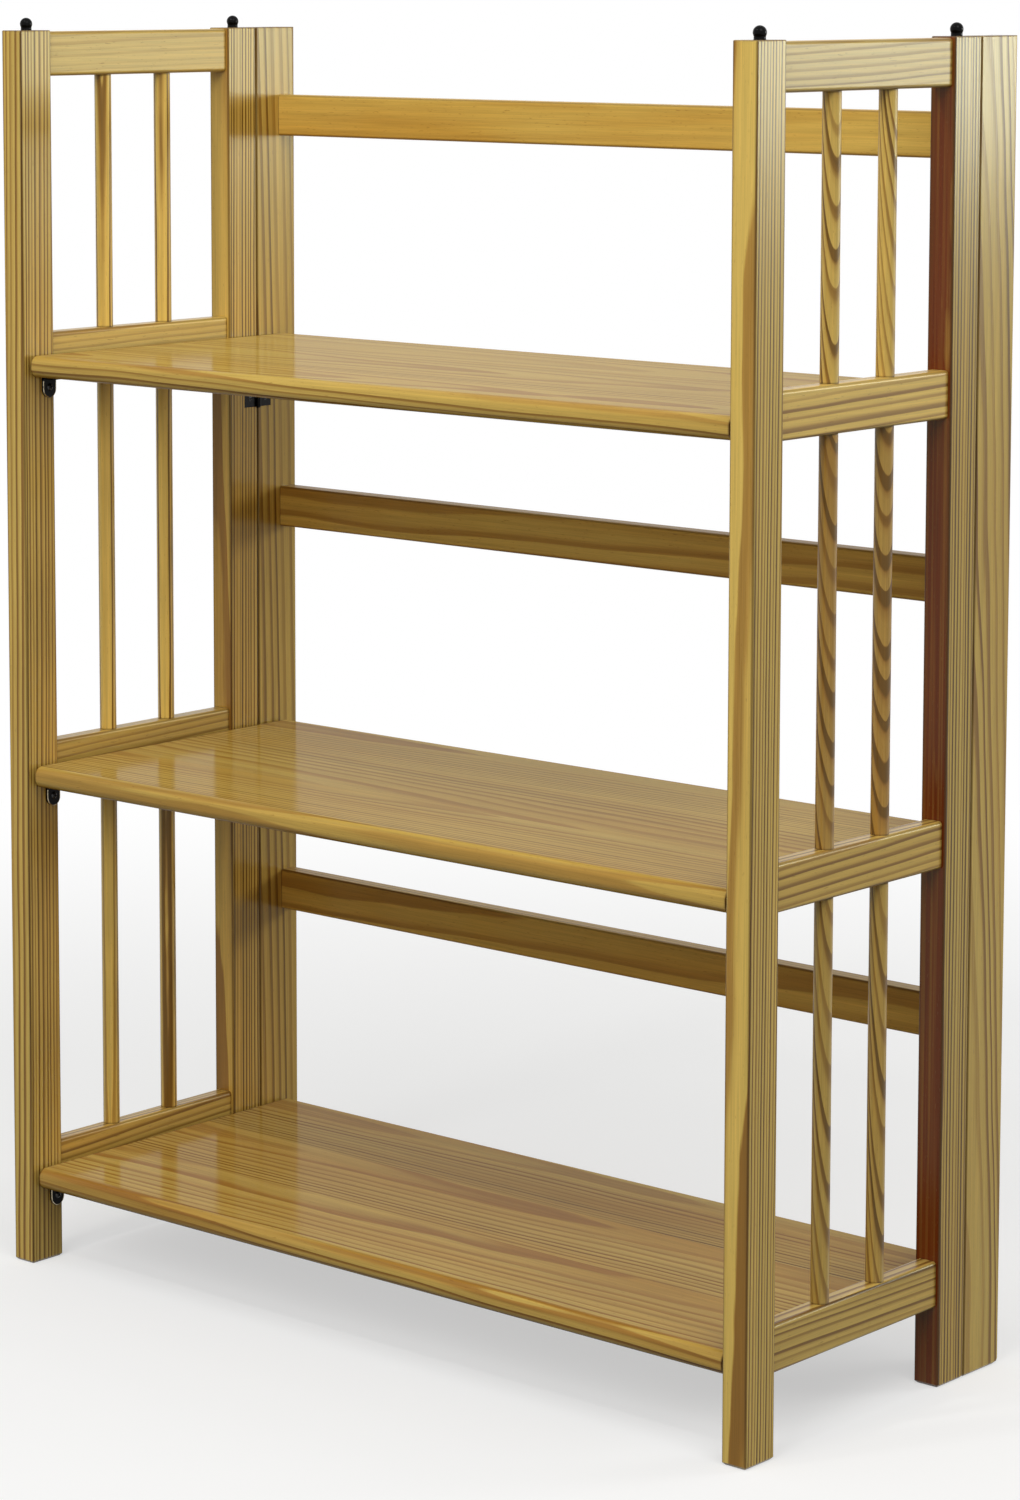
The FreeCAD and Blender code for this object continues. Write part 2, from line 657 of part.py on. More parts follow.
for side in (LEFT, RIGHT):
    back_stile(side)
    front_post(side)
    rear_post(side)
    side_rail(side, "top", "rail_high", False, True)
    side_rail(side, "upper", "rail_low + all_shelves", True, True)
    side_rail(side, "middle", "rail_low + shelf_spacing", True, True)
    side_rail(side, "bottom", "rail_low", True, False)
    spindles(side, "top_bay", "rail_low + all_shelves + rail_height", "top_bay")
    spindles(side, "middle_bay", "rail_low + shelf_spacing + rail_height", "low_bay")
    spindles(side, "bottom_bay", "rail_low + rail_height", "low_bay")
    stacking_pins(side)
    pivot_pins(side)
    hinge_leaves(side, "stile")
    hinge_leaves(side, "post")
    hinge_pins(side)
    shelf_rests(side)
for step, level in enumerate(("bottom", "middle", "top")):
    shelf(level, step)
    back_rail(level, step)

doc.recompute()
os.makedirs("parts", exist_ok=True)
bad = [item.Name for item in doc.Objects if {"Invalid", "Error"} & set(item.State)]
for name, count in solid_counts.items():
    shape = doc.getObject(name).Shape
    if shape.isNull() or not shape.isValid() or len(shape.Solids) != count:
        bad.append("%s has %d solids" % (name, len(shape.Solids)))
if bad:
    raise RuntimeError("not sound: " + ", ".join(bad))
for name in solid_counts:
    doc.getObject(name).Shape.exportStep("parts/%s.step" % name)
print(len(solid_counts), "sub-parts written")
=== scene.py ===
import math
from functools import partial

import bmesh
import bpy
from mathutils import Matrix, Vector


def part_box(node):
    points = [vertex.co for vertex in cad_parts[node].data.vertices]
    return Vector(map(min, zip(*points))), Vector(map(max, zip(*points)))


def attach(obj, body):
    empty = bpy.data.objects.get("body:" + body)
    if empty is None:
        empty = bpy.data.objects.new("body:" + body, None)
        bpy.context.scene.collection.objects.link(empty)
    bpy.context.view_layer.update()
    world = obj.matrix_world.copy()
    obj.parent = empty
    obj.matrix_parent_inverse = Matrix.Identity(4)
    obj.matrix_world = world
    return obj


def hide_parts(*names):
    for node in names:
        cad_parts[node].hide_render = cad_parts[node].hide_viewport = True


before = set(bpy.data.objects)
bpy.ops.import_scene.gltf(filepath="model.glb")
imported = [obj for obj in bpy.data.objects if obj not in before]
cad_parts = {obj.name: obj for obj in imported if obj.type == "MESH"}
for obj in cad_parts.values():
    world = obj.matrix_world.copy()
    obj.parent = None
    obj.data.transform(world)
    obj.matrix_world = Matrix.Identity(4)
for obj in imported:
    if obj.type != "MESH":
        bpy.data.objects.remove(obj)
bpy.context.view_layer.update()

mm = 0.001
black, white = (0, 0, 0, 1), (1, 1, 1, 1)
crisp = math.radians(40)      # edges that turn more than this stay sharp


def linear(code):
    # sRGB hex to linear colour
    parts = [int(code[i:i + 2], 16) / 255 for i in (1, 3, 5)]
    return tuple(p / 12.92 if p <= 0.04045 else ((p + 0.055) / 1.055) ** 2.4 for p in parts) + (1.0,)


def addNode(tree, kind, inputs=(), output=0, **settings):
    # one node with its settings and links; inputs are values or the sockets that feed them, in order or by name
    made = tree.nodes.new(kind)
    for name, value in settings.items():
        setattr(made, name, value)
    for name, value in (inputs.items() if isinstance(inputs, dict) else enumerate(inputs)):
        if isinstance(value, bpy.types.NodeSocket):
            tree.links.new(value, made.inputs[name])
        else:
            made.inputs[name].default_value = value
    return made if output is None else made.outputs[output]


def addObject(name, data):
    made = bpy.data.objects.new(name, data)
    bpy.context.scene.collection.objects.link(made)
    return made


# front right, a little above, with a long lens
camera = {
    "place": (1980.84 * mm, -2301.17 * mm, 977.52 * mm),
    "azimuth": 41.488,        # degrees round from the front towards the right
    "downward": 6.416,        # degrees
    "lens": 101.9,            # mm, on a sensor this wide
    "sensor": 36,
    "shift": (0.0514, -0.2),
}


def makeCamera():
    data = bpy.data.cameras.new("bookcaseCamera")
    data.lens = camera["lens"]
    data.sensor_width = camera["sensor"]
    data.shift_x, data.shift_y = camera["shift"]
    shot = addObject("bookcaseCamera", data)
    shot.location = camera["place"]
    shot.rotation_euler = (math.radians(90 - camera["downward"]), 0, math.radians(camera["azimuth"]))
    bpy.context.scene.camera = shot


# a white room with four soft boxes: one high at the right, a broad one in front, a small one close above the front,
# which puts the bright points on the pins, and a low one behind at the right, which the upper right faces mirror as
# a pale sheen
studio = {
    "walls": 0.17,            # what the white room adds to dull surfaces, from the sides
    "ceiling": 0.52,          # and from above
    "ceilingFrom": 0.7,       # how steep a direction meets the ceiling; 1 is straight up
    "floorColour": "#F4F4F2",
    "floorBounce": "#4E4B47",     # the floor that dull surfaces see: darker, so that undersides stay in shade
    "floorLift": 0.52,        # how far the seen floor is raised to white near the bookcase
    "clearAt": (0.7, 2.0),    # metres from the middle where the floor runs out into plain white
    "floorReach": 40.0,
    "lamps": {
        "keyBox": {"place": (1.9, -0.9, 2.7), "aim": (0.1, 0, 0.7), "size": (1.4, 1.4), "watts": 22},
        "frontBox": {"place": (0.5, -2.5, 1.8), "aim": (0, 0, 0.6), "size": (1.6, 1.6), "watts": 37, "mirrored": False},
        "highBox": {"place": (-0.2, -1.25, 2.2), "aim": (0, 0, 0.7), "size": (0.13, 0.13), "watts": 5},
        "sheenBox": {"place": (2.05, 2.4, 1.06), "aim": (0.35, 0, 0.8), "size": (0.95, 0.65), "watts": 24.5},
    },
}


def seenRays(tree):
    # 1 for what the camera sees, by itself, in a reflection or through something clear
    path = addNode(tree, "ShaderNodeLightPath", output=None).outputs
    seen = addNode(tree, "ShaderNodeMath", (path["Is Camera Ray"], path["Is Glossy Ray"]), operation="ADD")
    return addNode(tree, "ShaderNodeMath", (seen, path["Is Transmission Ray"]), operation="ADD", use_clamp=True)


def makeRoom():
    world = bpy.data.worlds.new("whiteRoom")
    bpy.context.scene.world = world
    bpy.context.scene.view_settings.view_transform = "Standard"
    world.use_nodes = True
    tree = world.node_tree
    tree.nodes.clear()
    add = partial(addNode, tree)
    seen = seenRays(tree)
    up = add("ShaderNodeSeparateXYZ", (add("ShaderNodeTexCoord", output="Generated"),), output="Z")
    light = add("ShaderNodeMapRange", {"Value": up, "From Max": studio["ceilingFrom"], "To Min": studio["walls"],
                                       "To Max": studio["ceiling"]}, interpolation_type="SMOOTHSTEP")
    room = add("ShaderNodeBackground", {"Color": white, "Strength": light})
    plain = add("ShaderNodeBackground", {"Color": white, "Strength": 1.0})
    both = add("ShaderNodeMixShader", (seen, room, plain))
    add("ShaderNodeOutputWorld", {"Surface": both}, output=None)


def placeLamps():
    for name, lamp in studio["lamps"].items():
        data = bpy.data.lights.new(name, "AREA")
        data.shape = "RECTANGLE"
        data.size, data.size_y = lamp["size"]
        data.energy = lamp["watts"]
        box = addObject(name, data)
        box.location = lamp["place"]
        box.visible_glossy = lamp.get("mirrored", True)
        aim = Vector(lamp["aim"]) - Vector(lamp["place"])
        box.rotation_euler = aim.to_track_quat("-Z", "Y").to_euler()


def layFloor():
    reach = studio["floorReach"]
    corners = [(-reach, -reach, 0), (reach, -reach, 0), (reach, reach, 0), (-reach, reach, 0)]
    mesh = bpy.data.meshes.new("floor")
    mesh.from_pydata(corners, [], [(0, 1, 2, 3)])
    mesh.materials.append(paleFloor())
    addObject("floor", mesh)


def paleFloor():
    # matt pale paint; far from the bookcase it runs out into plain white
    made = bpy.data.materials.new("paleFloor")
    made.use_nodes = True
    tree = made.node_tree
    tree.nodes.clear()
    add = partial(addNode, tree)
    seen = seenRays(tree)
    colour = add("ShaderNodeMix", {0: seen, 6: linear(studio["floorBounce"]), 7: linear(studio["floorColour"])},
                 output=2, data_type="RGBA")
    matt = add("ShaderNodeBsdfDiffuse", {"Color": colour})
    plain = add("ShaderNodeEmission", {"Color": white, "Strength": 1.0})
    away = add("ShaderNodeTexCoord", output="Object")
    away = add("ShaderNodeVectorMath", (away,), output="Value", operation="LENGTH")
    near, far = studio["clearAt"]
    clear = add("ShaderNodeMapRange", {"Value": away, "From Min": near, "From Max": far, "To Min": studio["floorLift"]},
                interpolation_type="SMOOTHSTEP")
    clear = add("ShaderNodeMath", (clear, seen), operation="MULTIPLY")
    both = add("ShaderNodeMixShader", (clear, matt, plain))
    add("ShaderNodeOutputMaterial", {"Surface": both}, output=None)
    return made


# pine boards, planed and lacquered: straw-coloured early wood that darkens slowly to an orange-brown late wood, with a
# crisp outer edge to each year, fine fibres along the board and small resin dashes, all under a clear gloss lacquer
pine = {
    "early": "#CEAE58",
    "honey": "#C0943E",
    "amber": "#A67630",
    "late": "#5A3C0E",
    # heartwood: deep red-brown; on the right rear post it is partly painted shade
    "heart": "#6C2000",
    "resin": "#7A4A1C",
    "joint": "#4A2B10",

    # sizes of the patterns, across and along the fibres
    "fibre": (0.8 * mm, 45 * mm),      # real fibres are far finer and would not show
    "dash": (0.7 * mm, 6 * mm),
    "wave": (70 * mm, 300 * mm),
    "ripple": (11 * mm, 90 * mm),
    "cloud": (50 * mm, 350 * mm),
    "streak": (3 * mm, 350 * mm),

    "season": ((0.36, 0.06), (0.56, 0.30), (0.70, 0.85), (0.86, 1.0), (0.95, 0.9)),   # part of the year, darkness
    "yearTint": (0.45, 0.65),          # darkness of the palest year, and how much the darkest has on top
    "yearPace": 0.37,                  # how fast the years' widths change from ring to ring
    "staveKey": 17.3,                  # seed from one stave to the next
    "rippleDepth": 0.9 * mm,
    "dashCut": (0.66, 0.74),           # from where to where in a pattern its mark fades in
    "dashTint": 0.45,
    "honeyCut": (0.35, 0.68),
    "heartWave": 6 * mm,               # unevenness of the heartwood's edge
    "heartBlur": 1.5 * mm,
    "heartCut": (0.46, 0.66),          # pale streaks in the heartwood
    "heartPale": 0.82,
    "shade": {"least": 0.52, "fibre": 0.44, "streak": 0.42, "stave": 0.12},
    "endBlur": 1.3 * mm,               # the dark line round a joint
    "endTint": 0.75,
    "corner": (0.6 * mm, 1.8 * mm),    # darker along the eased corners, this far from the sharp corner
    "cornerTint": 0.7,

    "roughness": {"upright": 0.23, "sideRail": 0.30, "backRail": 0.38, "shelf": 0.38, "dowel": 0.28},
    "rougher": {"fibre": 0.08, "dash": 0.2, "late": 0.07},
    "specular": {"upright": 0.32, "sideRail": 0.32, "backRail": 0.15, "shelf": 0.0, "dowel": 0.5},
    "fibreSheen": "#DCF2C8",           # light that comes back from the fibres under the lacquer is tinted by them
    "lacquer": {"upright": 0.05, "sideRail": 0.05, "backRail": 0.05, "shelf": 0.28, "dowel": 0.1},
    "lacquerRoughness": 0.14,
    "lacquerIor": 1.5,
    "relief": 0.05 * mm,
    "reliefStrength": 0.6,
    "reliefShares": {"fibre": 0.35, "late": 0.5, "dash": 0.6},
}

# a board's own numbers; ring widths are about a third wider than in the real boards, whose finest rings would not show
boardDefaults = {
    "Seed": 0.0,
    "Pith across": 0.0,                # the log's heart, seen from the middle of the board
    "Pith deep": 90 * mm,
    "Lean": 0.006,                     # how fast the rings run out of the board's face
    "Ring width": 3.6 * mm,
    "Wander": 3.0 * mm,
    "Stave width": 10.0,               # wider than any board: one stave
    "Spread": 6 * mm,                  # how far the staves' hearts differ
    "Contrast": 1.0,
    "Tone": 0.5,                       # share of honey in the early wood
    # this factor multiplies the board's colour: partly the board's own lightness, partly painted light and shade, set
    # board by board for the light that falls on it
    "Bright": 1.0,
    "Heart radius": 0.0,               # how far from the pith the red heartwood reaches; a metre takes in any board
    "Heart tint": 0.0,                 # share of its colour
    "Flat cut": 0.7,                   # how much paler the rings are on faces that run along them
    "Gloss": 0.38,
    "Half length": 10.0,               # beyond any board: no dark lines at its ends and corners
    "Half across": 10.0,
    "Half deep": 10.0,
}


def stretched(add, place, size):
    # pattern coordinates: one unit is size[0] across the fibres and size[1] along them
    across, along = size
    return add("ShaderNodeCombineXYZ", [add("ShaderNodeMath", (part, 1 / length), operation="MULTIPLY")
                                        for part, length in zip(place, (across, across, along))])


def pineGrain():
    # one group for all boards
    group = bpy.data.node_groups.new("pineGrain", "ShaderNodeTree")
    for name in ("Place", "Facing"):
        group.interface.new_socket(name, in_out="INPUT", socket_type="NodeSocketVector")
    for name, value in boardDefaults.items():
        group.interface.new_socket(name, in_out="INPUT", socket_type="NodeSocketFloat").default_value = value
    for name, kind in (("Colour", "Color"), ("Roughness", "Float"), ("Height", "Float")):
        group.interface.new_socket(name, in_out="OUTPUT", socket_type="NodeSocket" + kind)
    add = partial(addNode, group)
    board = add("NodeGroupInput", output=None).outputs
    across, deep, along = add("ShaderNodeSeparateXYZ", (board["Place"],), output=None).outputs

    # glued staves: each has its own heart and tone
    stave = add("ShaderNodeMath", (across, board["Stave width"]), operation="DIVIDE")
    stave = add("ShaderNodeMath", (stave, 0.5), operation="ADD")
    stave = add("ShaderNodeMath", (stave,), operation="FLOOR")
    middle = add("ShaderNodeMath", (stave, board["Stave width"]), operation="MULTIPLY")
    inStave = add("ShaderNodeMath", (across, middle), operation="SUBTRACT")
    key = add("ShaderNodeMath", (stave, pine["staveKey"], board["Seed"]), operation="MULTIPLY_ADD")
    chances = add("ShaderNodeTexWhiteNoise", {"W": key}, output="Color", noise_dimensions="1D")
    chances = add("ShaderNodeSeparateColor", (chances,), output=None).outputs

    # patterns along the fibres; the broad ones differ from stave to stave
    pattern = {}
    for name, detail, dimensions in (("wave", 2.0, "4D"), ("ripple", 2.0, "4D"), ("cloud", 3.0, "4D"),
                                     ("fibre", 2.0, "3D"), ("streak", 2.0, "3D"), ("dash", 2.0, "3D")):
        inputs = {"Vector": stretched(add, (inStave, deep, along), pine[name]), "Scale": 1.0, "Detail": detail}
        if dimensions == "4D":
            inputs["W"] = key
        pattern[name] = add("ShaderNodeTexNoise", inputs, output=None, noise_dimensions=dimensions).outputs
    fibre, streak = pattern["fibre"][0], pattern["streak"][0]
    ripple = add("ShaderNodeMath", (pattern["ripple"][0], 0.5), operation="SUBTRACT")      # noise swings about 0.5

    # from the heart of the log, which wanders along the board
    drifts = add("ShaderNodeSeparateColor", (pattern["wave"]["Color"],), output=None).outputs
    offsets = []
    for part, pith, chance, drift in ((inStave, board["Pith across"], chances[0], drifts[0]),
                                      (deep, board["Pith deep"], chances[1], drifts[1])):
        chance = add("ShaderNodeMath", (chance, 0.5), operation="SUBTRACT")
        heart = add("ShaderNodeMath", (chance, board["Spread"], pith), operation="MULTIPLY_ADD")
        away = add("ShaderNodeMath", (part, heart), operation="SUBTRACT")
        drift = add("ShaderNodeMath", (drift, 0.5), operation="SUBTRACT")
        offsets.append(add("ShaderNodeMath", (drift, board["Wander"], away), operation="MULTIPLY_ADD"))
    outward = add("ShaderNodeCombineXYZ", offsets)
    radius = add("ShaderNodeVectorMath", (outward,), output="Value", operation="LENGTH")
    outward = add("ShaderNodeVectorMath", (outward,), operation="NORMALIZE")
    flat = add("ShaderNodeVectorMath", (outward, board["Facing"]), output="Value", operation="DOT_PRODUCT")
    flat = add("ShaderNodeMath", (flat, flat), operation="MULTIPLY")      # 1 where the face runs along the rings

    # year rings; the log tapers, so they are cones
    radius = add("ShaderNodeMath", (along, board["Lean"], radius), operation="MULTIPLY_ADD")
    radius = add("ShaderNodeMath", (ripple, pine["rippleDepth"], radius), operation="MULTIPLY_ADD")
    rings = add("ShaderNodeMath", (radius, board["Ring width"]), operation="DIVIDE")
    uneven = add("ShaderNodeMath", (rings, pine["yearPace"], key), operation="MULTIPLY_ADD")
    uneven = add("ShaderNodeTexNoise", {"W": uneven, "Scale": 1.0}, noise_dimensions="1D")
    rings = add("ShaderNodeMath", (rings, uneven), operation="ADD")
    year = add("ShaderNodeMath", (rings,), operation="FLOOR")
    year = add("ShaderNodeMath", (year, key), operation="ADD")
    year = add("ShaderNodeTexWhiteNoise", {"W": year}, noise_dimensions="1D")
    season = add("ShaderNodeValToRGB", (add("ShaderNodeMath", (rings,), operation="FRACT"),), output=None)
    stops = season.color_ramp.elements
    stops[0].position, stops[0].color = 0.0, black
    stops[1].position, stops[1].color = 1.0, black
    for position, grey in pine["season"]:
        stops.new(position).color = (grey, grey, grey, 1)
    least, more = pine["yearTint"]
    depth = add("ShaderNodeMath", (year, more, least), operation="MULTIPLY_ADD")
    dark = add("ShaderNodeMath", (season.outputs[0], depth), operation="MULTIPLY")
    dark = add("ShaderNodeMath", (dark, board["Contrast"]), operation="MULTIPLY", use_clamp=True)
    late = add("ShaderNodeMath", (flat, board["Flat cut"]), operation="MULTIPLY")
    late = add("ShaderNodeMath", (1.0, late), operation="SUBTRACT")
    late = add("ShaderNodeMath", (late, dark), operation="MULTIPLY")
    late = add("ShaderNodeMath", (late, dark), operation="MULTIPLY")

    # resin dashes, honey-coloured clouds and heartwood
    low, high = pine["dashCut"]
    dash = add("ShaderNodeMapRange", {"Value": pattern["dash"][0], "From Min": low, "From Max": high,
                                      "To Max": pine["dashTint"]})
    low, high = pine["honeyCut"]
    honey = add("ShaderNodeMapRange", {"Value": pattern["cloud"][0], "From Min": low, "From Max": high,
                                       "To Max": board["Tone"]})
    heartEdge = add("ShaderNodeMath", (ripple, pine["heartWave"], radius), operation="MULTIPLY_ADD")
    inside = add("ShaderNodeMath", (board["Heart radius"], heartEdge), operation="SUBTRACT")
    heartwood = add("ShaderNodeMapRange", {"Value": inside, "From Max": pine["heartBlur"],
                                           "To Max": board["Heart tint"]})
    low, high = pine["heartCut"]
    pale = add("ShaderNodeMapRange", {"Value": streak, "From Min": low, "From Max": high, "To Min": 1.0,
                                      "To Max": pine["heartPale"]})
    heartwood = add("ShaderNodeMath", (heartwood, pale), operation="MULTIPLY")

    # dark lines round the joints and along the corners
    ends = add("ShaderNodeMapRange", {
        "Value": add("ShaderNodeMath", (along,), operation="ABSOLUTE"),
        "From Min": add("ShaderNodeMath", (board["Half length"], pine["endBlur"]), operation="SUBTRACT"),
        "From Max": board["Half length"], "To Max": pine["endTint"]})
    short = []
    for part, half in ((across, "Half across"), (deep, "Half deep")):
        part = add("ShaderNodeMath", (part,), operation="ABSOLUTE")
        short.append(add("ShaderNodeMath", (board[half], part), operation="SUBTRACT"))
    corner = add("ShaderNodeVectorMath", (add("ShaderNodeCombineXYZ", short),), output="Value", operation="LENGTH")
    low, high = pine["corner"]
    corner = add("ShaderNodeMapRange", {"Value": corner, "From Min": low, "From Max": high,
                                        "To Min": pine["cornerTint"], "To Max": 0.0})
    joint = add("ShaderNodeMath", (ends, corner), operation="MAXIMUM")

    # the colours over each other, shaded by fibres, streaks and stave
    colour = linear(pine["early"])
    for share, name in ((honey, "honey"), (dark, "amber"), (heartwood, "heart"), (late, "late"), (dash, "resin")):
        colour = add("ShaderNodeMix", {0: share, 6: colour, 7: linear(pine[name])}, output=2, data_type="RGBA")
    shade = pine["shade"]["least"]
    for part, name in ((fibre, "fibre"), (chances[2], "stave"), (streak, "streak")):
        shade = add("ShaderNodeMath", (part, pine["shade"][name], shade), operation="MULTIPLY_ADD")
    # painted light and shade: the whole board is made paler or darker by its lightness factor
    shade = add("ShaderNodeMath", (shade, board["Bright"]), operation="MULTIPLY")
    shade = add("ShaderNodeCombineColor", (shade, shade, shade))
    colour = add("ShaderNodeMix", {0: 1.0, 6: colour, 7: shade}, output=2, data_type="RGBA", blend_type="MULTIPLY")
    colour = add("ShaderNodeMix", {0: joint, 6: colour, 7: linear(pine["joint"])}, output=2, data_type="RGBA")

    rougher = pine["rougher"]
    fibreGloss = add("ShaderNodeMath", (fibre, 0.5), operation="SUBTRACT")
    rough = add("ShaderNodeMath", (fibreGloss, rougher["fibre"], board["Gloss"]), operation="MULTIPLY_ADD")
    rough = add("ShaderNodeMath", (dash, rougher["dash"], rough), operation="MULTIPLY_ADD")
    rough = add("ShaderNodeMath", (dark, rougher["late"], rough), operation="MULTIPLY_ADD")
    raised = pine["reliefShares"]
    height = add("ShaderNodeMath", (dark, raised["late"]), operation="MULTIPLY")
    height = add("ShaderNodeMath", (fibre, raised["fibre"], height), operation="MULTIPLY_ADD")
    height = add("ShaderNodeMath", (dash, -raised["dash"], height), operation="MULTIPLY_ADD")
    add("NodeGroupOutput", {"Colour": colour, "Roughness": rough, "Height": height}, output=None)
    return group


# how a board's width, thickness and length lie in the bookcase: rows give across, deep, along
lies = {
    "upright": ((1, 0, 0), (0, 1, 0), (0, 0, 1)),
    "sideRail": ((0, 0, 1), (1, 0, 0), (0, 1, 0)),
    "backRail": ((0, 0, 1), (0, -1, 0), (1, 0, 0)),
    "shelf": ((0, 1, 0), (0, 0, 1), (1, 0, 0)),
    "dowel": ((0, 1, 0), (-1, 0, 0), (0, 0, 1)),
}


def lacqueredPine(name, grain, lie, centre, numbers):
    # gloss lacquer over planed pine: a soft broad sheen from the fibres, and on the shelves a clear reflection on top
    made = bpy.data.materials.new(name)
    made.use_nodes = True
    tree = made.node_tree
    tree.nodes.clear()
    add = partial(addNode, tree)
    turn = Matrix(lies[lie])
    spot = add("ShaderNodeTexCoord", output=None).outputs
    angles = turn.to_euler("XYZ")
    place = add("ShaderNodeMapping", {"Vector": spot["Object"], "Location": -(turn @ centre), "Rotation": angles})
    facing = add("ShaderNodeMapping", {"Vector": spot["Normal"], "Rotation": angles}, vector_type="NORMAL")
    wood = add("ShaderNodeGroup", output=None, node_tree=grain)
    tree.links.new(place, wood.inputs["Place"])
    tree.links.new(facing, wood.inputs["Facing"])
    for key, value in {**boardDefaults, "Gloss": pine["roughness"][lie], **numbers}.items():
        wood.inputs[key].default_value = value
    relief = add("ShaderNodeBump", {"Height": wood.outputs["Height"], "Strength": pine["reliefStrength"],
                                    "Distance": pine["relief"]})
    surface = add("ShaderNodeBsdfPrincipled", {
        "Base Color": wood.outputs["Colour"], "Roughness": wood.outputs["Roughness"], "Normal": relief,
        "IOR": pine["lacquerIor"], "Specular IOR Level": pine["specular"][lie],
        "Specular Tint": linear(pine["fibreSheen"]), "Coat Weight": pine["lacquer"][lie],
        "Coat Roughness": pine["lacquerRoughness"], "Coat IOR": pine["lacquerIor"]})
    add("ShaderNodeOutputMaterial", {"Surface": surface}, output=None)
    return made


# what the boards of a kind share, and then each board's own numbers
common = {
    "upright": {},
    "sideRail": {"Pith across": 45 * mm, "Pith deep": 45 * mm, "Ring width": 4.2 * mm, "Wander": 5 * mm, "Lean": 0.02},
    "backRail": {"Pith across": 20 * mm, "Pith deep": 70 * mm, "Ring width": 4.5 * mm, "Wander": 9 * mm},
    "shelf": {"Pith deep": -70 * mm, "Ring width": 4.6 * mm, "Wander": 11 * mm, "Lean": 0.012, "Stave width": 92 * mm,
              "Spread": 50 * mm, "Flat cut": 1.1},
    # the dowels stand one behind the other, so their staves are counted along the depth
    "dowel": {"Pith deep": 5 * mm, "Ring width": 2.6 * mm, "Stave width": 62.8 * mm, "Spread": 5 * mm, "Flat cut": 0.2},
}
